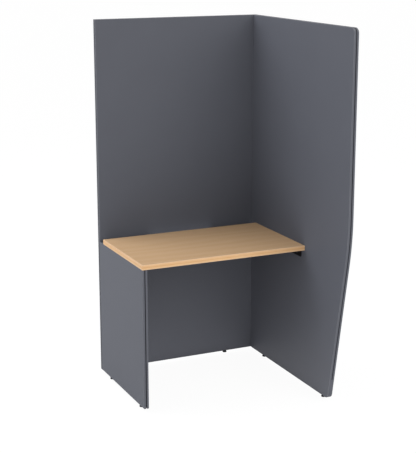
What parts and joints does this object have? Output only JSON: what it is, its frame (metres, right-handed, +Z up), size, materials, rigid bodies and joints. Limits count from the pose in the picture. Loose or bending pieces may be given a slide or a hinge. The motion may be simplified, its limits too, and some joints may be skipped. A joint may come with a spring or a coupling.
{
  "type": "office booth",
  "caption": "Solo work booth: tall grey back and side screens in an L, with a fixed maple-look desktop on a short leg panel, standing on levelling feet.",
  "frame": {"origin": "on the floor, below the centre of the booth's box", "axes": "+X to the right as seen from the open front, +Y to the back, +Z up"},
  "size_m": [0.88, 1, 1.8],
  "materials": {
    "panel_grey": "grey melamine-faced board, fine matt texture",
    "core_dark": "dark fibreboard core, set back between the boards",
    "maple_top": "pale maple-grain melamine, satin",
    "maple_band": "pale maple-look plastic edge band",
    "angle_black": "black powder coat on steel",
    "screw_black": "black-passivated steel",
    "bolt_zinc": "zinc-plated steel",
    "insert_zinc": "zinc-plated steel",
    "dowel_beech": "plain beech",
    "foot_black": "black moulded plastic",
    "stud_black": "black-oxide steel"
  },
  "bodies": {
    "booth": {"back_front_skin": "panel_grey", "back_rear_skin": "panel_grey", "side_inner_skin": "panel_grey", "side_outer_skin": "panel_grey", "side_toe_block": "panel_grey", "leg_outer_skin": "panel_grey", "leg_inner_skin": "panel_grey", "back_core": "core_dark", "side_core": "core_dark", "leg_core": "core_dark", "desktop_board": "maple_top", "desktop_front_band": "maple_band", "desktop_rear_band": "maple_band", "desktop_left_band": "maple_band", "desktop_right_band": "maple_band", "right_desk_angle": "angle_black", "left_desk_angle": "angle_black", "rear_right_desk_angle": "angle_black", "rear_left_desk_angle": "angle_black", "right_angle_wall_screws": "screw_black", "right_angle_top_screws": "screw_black", "left_angle_wall_screws": "screw_black", "left_angle_top_screws": "screw_black", "rear_right_angle_wall_screws": "screw_black", "rear_right_angle_top_screws": "screw_black", "rear_left_angle_wall_screws": "screw_black", "rear_left_angle_top_screws": "screw_black", "side_bolts": "bolt_zinc", "leg_bolts": "bolt_zinc", "side_bolt_inserts": "insert_zinc", "leg_bolt_inserts": "insert_zinc", "back_foot_inserts": "insert_zinc", "side_foot_inserts": "insert_zinc", "leg_foot_inserts": "insert_zinc", "side_dowels": "dowel_beech", "leg_dowels": "dowel_beech", "leg_top_dowels": "dowel_beech"},
    "back_left_pad": {"back_left_foot_pad": "foot_black"},
    "back_left_stud": {"back_left_foot_stud": "stud_black"},
    "back_right_pad": {"back_right_foot_pad": "foot_black"},
    "back_right_stud": {"back_right_foot_stud": "stud_black"},
    "side_front_pad": {"side_front_foot_pad": "foot_black"},
    "side_front_stud": {"side_front_foot_stud": "stud_black"},
    "side_rear_pad": {"side_rear_foot_pad": "foot_black"},
    "side_rear_stud": {"side_rear_foot_stud": "stud_black"},
    "leg_front_pad": {"leg_front_foot_pad": "foot_black"},
    "leg_front_stud": {"leg_front_foot_stud": "stud_black"},
    "leg_rear_pad": {"leg_rear_foot_pad": "foot_black"},
    "leg_rear_stud": {"leg_rear_foot_stud": "stud_black"}
  },
  "joints": [
    {"name": "back_left_foot_slide", "type": "slide", "parent": "booth", "child": "back_left_pad", "axis": [0, 0, -1], "range_m": [0, 0.01]},
    {"name": "back_left_foot_turn", "type": "hinge", "parent": "back_left_pad", "child": "back_left_stud", "pos_m": [-0.264, 0.4875, 0], "axis": [0, 0, -1], "range_deg": [0, 2880]},
    {"name": "back_right_foot_slide", "type": "slide", "parent": "booth", "child": "back_right_pad", "axis": [0, 0, -1], "range_m": [0, 0.01]},
    {"name": "back_right_foot_turn", "type": "hinge", "parent": "back_right_pad", "child": "back_right_stud", "pos_m": [0.264, 0.4875, 0], "axis": [0, 0, -1], "range_deg": [0, 2880]},
    {"name": "side_front_foot_slide", "type": "slide", "parent": "booth", "child": "side_front_pad", "axis": [0, 0, -1], "range_m": [0, 0.01]},
    {"name": "side_front_foot_turn", "type": "hinge", "parent": "side_front_pad", "child": "side_front_stud", "pos_m": [0.4275, -0.292, 0], "axis": [0, 0, -1], "range_deg": [0, 2880]},
    {"name": "side_rear_foot_slide", "type": "slide", "parent": "booth", "child": "side_rear_pad", "axis": [0, 0, -1], "range_m": [0, 0.01]},
    {"name": "side_rear_foot_turn", "type": "hinge", "parent": "side_rear_pad", "child": "side_rear_stud", "pos_m": [0.4275, 0.335, 0], "axis": [0, 0, -1], "range_deg": [0, 2880]},
    {"name": "leg_front_foot_slide", "type": "slide", "parent": "booth", "child": "leg_front_pad", "axis": [0, 0, -1], "range_m": [0, 0.01]},
    {"name": "leg_front_foot_turn", "type": "hinge", "parent": "leg_front_pad", "child": "leg_front_stud", "pos_m": [-0.4275, -0.037, 0], "axis": [0, 0, -1], "range_deg": [0, 2880]},
    {"name": "leg_rear_foot_slide", "type": "slide", "parent": "booth", "child": "leg_rear_pad", "axis": [0, 0, -1], "range_m": [0, 0.01]},
    {"name": "leg_rear_foot_turn", "type": "hinge", "parent": "leg_rear_pad", "child": "leg_rear_stud", "pos_m": [-0.4275, 0.365, 0], "axis": [0, 0, -1], "range_deg": [0, 2880]}
  ],
  "couplings": [
    {"joint": "back_left_foot_slide", "follows": "back_left_foot_turn", "m_per_rad": 0.00019894},
    {"joint": "back_right_foot_slide", "follows": "back_right_foot_turn", "m_per_rad": 0.00019894},
    {"joint": "side_front_foot_slide", "follows": "side_front_foot_turn", "m_per_rad": 0.00019894},
    {"joint": "side_rear_foot_slide", "follows": "side_rear_foot_turn", "m_per_rad": 0.00019894},
    {"joint": "leg_front_foot_slide", "follows": "leg_front_foot_turn", "m_per_rad": 0.00019894},
    {"joint": "leg_rear_foot_slide", "follows": "leg_rear_foot_turn", "m_per_rad": 0.00019894}
  ]
}
